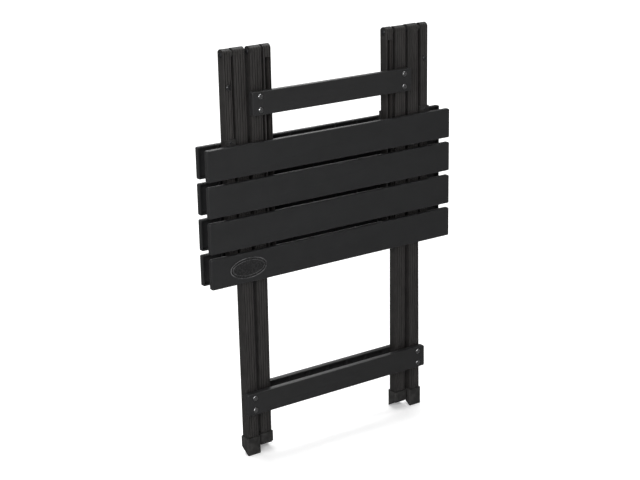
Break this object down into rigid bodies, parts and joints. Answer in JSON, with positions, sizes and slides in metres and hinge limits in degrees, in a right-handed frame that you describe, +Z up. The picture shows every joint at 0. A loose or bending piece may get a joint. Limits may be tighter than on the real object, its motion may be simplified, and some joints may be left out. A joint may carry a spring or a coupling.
{
  "type": "folding side table",
  "caption": "Folding slatted side table, folded flat and standing on its feet: two slatted top halves hang either side of scissor legs.",
  "frame": {"origin": "on the floor, midway between the two halves of the top and midway along the slats", "axes": "+Z up, X along the slats, -Y towards the front half of the top"},
  "size_m": [0.476, 0.0448, 0.6705],
  "materials": {
    "slat_plastic": "satin moulded, charcoal black",
    "crossbar_plastic": "satin moulded, charcoal black",
    "rail_metal": "black anodised extrusion, fluted",
    "leg_metal": "black anodised extrusion, fluted",
    "plug_plastic": "satin",
    "foot_plastic": "matt",
    "rivet_metal": "bright domed",
    "screw_metal": "black plated, satin",
    "pin_metal": "black plated, satin",
    "badge": "glossy, raised rim, blank"
  },
  "bodies": {
    "pivots": {"pivot_bolts": "pin_metal", "pivot_nuts": "pin_metal", "pivot_spacers": "plug_plastic"},
    "outer_legs": {"front_crossbar": "crossbar_plastic", "front_crossbar_rivets": "rivet_metal", "front_hinge_pins": "pin_metal", "outer_foot_left": "foot_plastic", "outer_foot_right": "foot_plastic", "outer_leg_left": "leg_metal", "outer_leg_plugs": "plug_plastic", "outer_leg_right": "leg_metal"},
    "inner_legs": {"back_crossbar": "crossbar_plastic", "back_crossbar_rivets": "rivet_metal", "back_hinge_pins": "pin_metal", "inner_foot_left": "foot_plastic", "inner_foot_right": "foot_plastic", "inner_leg_left": "leg_metal", "inner_leg_plugs": "plug_plastic", "inner_leg_right": "leg_metal", "top_crossbar": "crossbar_plastic", "top_crossbar_rivets": "rivet_metal"},
    "front_top": {"badge": "badge", "front_hinge_washers": "plug_plastic", "front_rail_left": "rail_metal", "front_rail_plugs": "plug_plastic", "front_rail_right": "rail_metal", "front_rest_studs": "screw_metal", "front_slat_1": "slat_plastic", "front_slat_2": "slat_plastic", "front_slat_3": "slat_plastic", "front_slat_4": "slat_plastic", "front_slat_clips": "plug_plastic", "front_slat_screws": "screw_metal"},
    "back_top": {"back_hinge_washers": "plug_plastic", "back_rail_left": "rail_metal", "back_rail_plugs": "plug_plastic", "back_rail_right": "rail_metal", "back_rest_studs": "screw_metal", "back_slat_1": "slat_plastic", "back_slat_2": "slat_plastic", "back_slat_3": "slat_plastic", "back_slat_4": "slat_plastic", "back_slat_clips": "plug_plastic", "back_slat_screws": "screw_metal"}
  },
  "joints": [
    {"name": "outer_legs_spread", "type": "hinge", "parent": "pivots", "child": "outer_legs", "pos_m": [0, 0, 0.4], "axis": [-1, 0, 0], "range_deg": [0, 14.4]},
    {"name": "inner_legs_spread", "type": "hinge", "parent": "pivots", "child": "inner_legs", "pos_m": [0, 0, 0.4], "axis": [1, 0, 0], "range_deg": [0, 14.4]},
    {"name": "front_top_swing", "type": "hinge", "parent": "outer_legs", "child": "front_top", "pos_m": [0, 0, 0.662], "axis": [-1, 0, 0], "range_deg": [0, 75.6]},
    {"name": "back_top_swing", "type": "hinge", "parent": "inner_legs", "child": "back_top", "pos_m": [0, 0, 0.662], "axis": [1, 0, 0], "range_deg": [0, 75.6]}
  ],
  "couplings": [
    {"joint": "inner_legs_spread", "follows": "outer_legs_spread", "ratio": 1},
    {"joint": "front_top_swing", "follows": "outer_legs_spread", "ratio": 5.25},
    {"joint": "back_top_swing", "follows": "outer_legs_spread", "ratio": 5.25}
  ]
}
